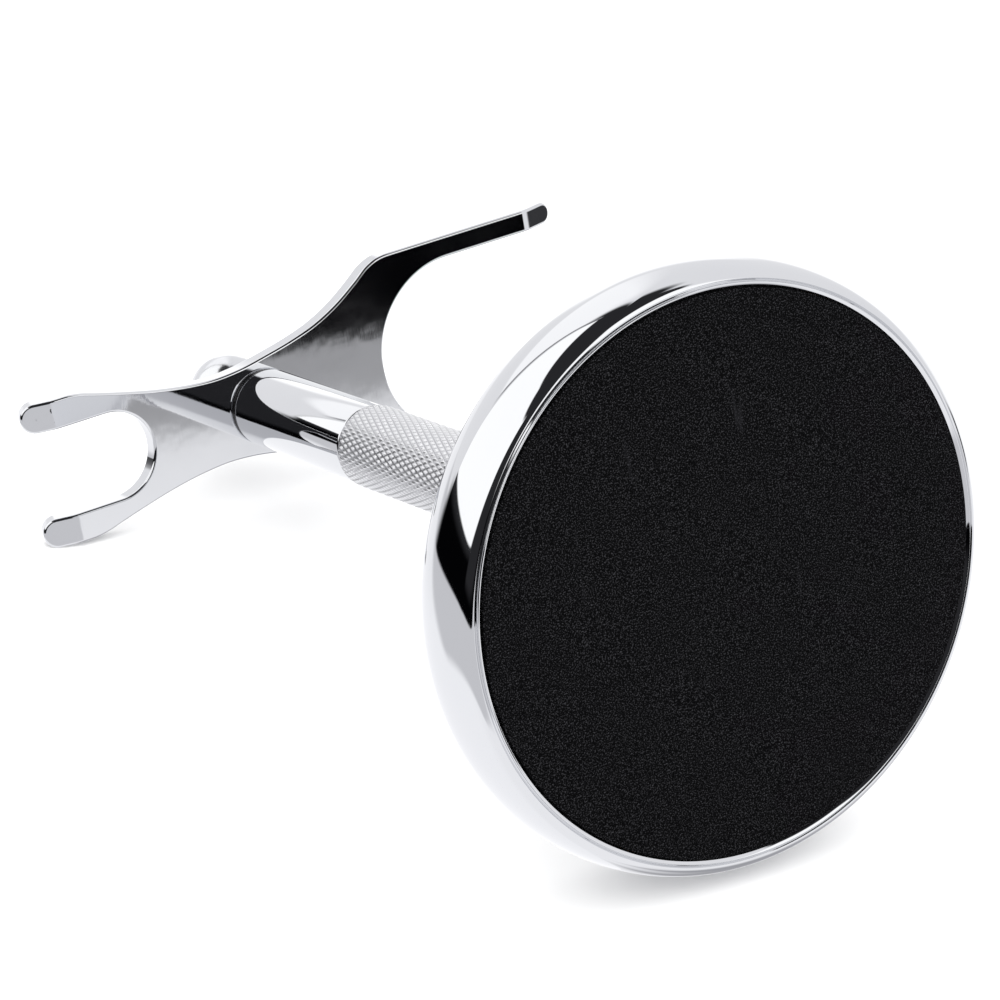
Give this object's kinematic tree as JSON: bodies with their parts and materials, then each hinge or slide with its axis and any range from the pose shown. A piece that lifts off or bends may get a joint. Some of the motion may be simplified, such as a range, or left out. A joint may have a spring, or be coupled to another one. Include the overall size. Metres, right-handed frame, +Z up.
{
  "type": "razor stand",
  "caption": "Free-standing chrome stand: weighted round base, knurled and smooth post, and a plate with a wide fork for a shaving brush and a narrow fork for a razor.",
  "frame": {"origin": "centre of the base's underside, on the post's axis", "axes": "+Z up the post, +X towards the wide brush fork, -X towards the narrow razor fork"},
  "size_m": [0.085, 0.0716, 0.1274],
  "materials": {
    "chrome_base": "polished chrome plate",
    "chrome_knurl": "chrome plate over diamond knurl",
    "chrome_post": "polished chrome plate",
    "chrome_fork": "polished chrome plate",
    "chrome_knob": "polished chrome plate",
    "ballast_iron": "rough cast",
    "zinc_steel": "zinc plated",
    "turned_brass": "turned",
    "hardboard": "pressed board",
    "adhesive_film": "clear film",
    "eva_foam": "matt closed-cell foam",
    "nylon": "black nylon"
  },
  "bodies": {
    "base": {"base_shell": "chrome_base", "base_ballast": "ballast_iron", "base_bolt": "zinc_steel", "bolt_washer": "zinc_steel", "lock_washer": "zinc_steel", "jam_nut": "zinc_steel", "pad_board": "hardboard", "pad_adhesive": "adhesive_film", "base_pad": "eva_foam"},
    "post_carrier": {"post_seat_washer": "nylon"},
    "post": {"knurled_grip": "chrome_knurl", "section_stud": "zinc_steel", "post_tube": "chrome_post", "tube_plug_lower": "turned_brass", "tube_plug_upper": "turned_brass", "fork_seat_washer": "nylon"},
    "fork": {"fork_plate": "chrome_fork"},
    "knob_carrier": {"knob_washer": "chrome_knob"},
    "knob": {"knob_stud": "zinc_steel", "knob": "chrome_knob"}
  },
  "joints": [
    {"name": "post_lift", "type": "slide", "parent": "base", "child": "post_carrier", "axis": [0, 0, 1], "range_m": [0, 0.0068]},
    {"name": "post_unscrew", "type": "hinge", "parent": "post_carrier", "child": "post", "pos_m": [0, 0, 0.0145], "axis": [0, 0, 1], "range_deg": [0, 3060]},
    {"name": "fork_swivel", "type": "hinge", "parent": "post", "child": "fork", "pos_m": [0, 0, 0.111], "axis": [0, 0, 1], "continuous": true},
    {"name": "knob_lift", "type": "slide", "parent": "post", "child": "knob_carrier", "axis": [0, 0, 1], "range_m": [0, 0.0068]},
    {"name": "knob_unscrew", "type": "hinge", "parent": "knob_carrier", "child": "knob", "pos_m": [0, 0, 0.1143], "axis": [0, 0, 1], "range_deg": [0, 3060]}
  ],
  "couplings": [
    {"joint": "post_unscrew", "follows": "post_lift", "rad_per_m": 7854},
    {"joint": "knob_unscrew", "follows": "knob_lift", "rad_per_m": 7854}
  ]
}
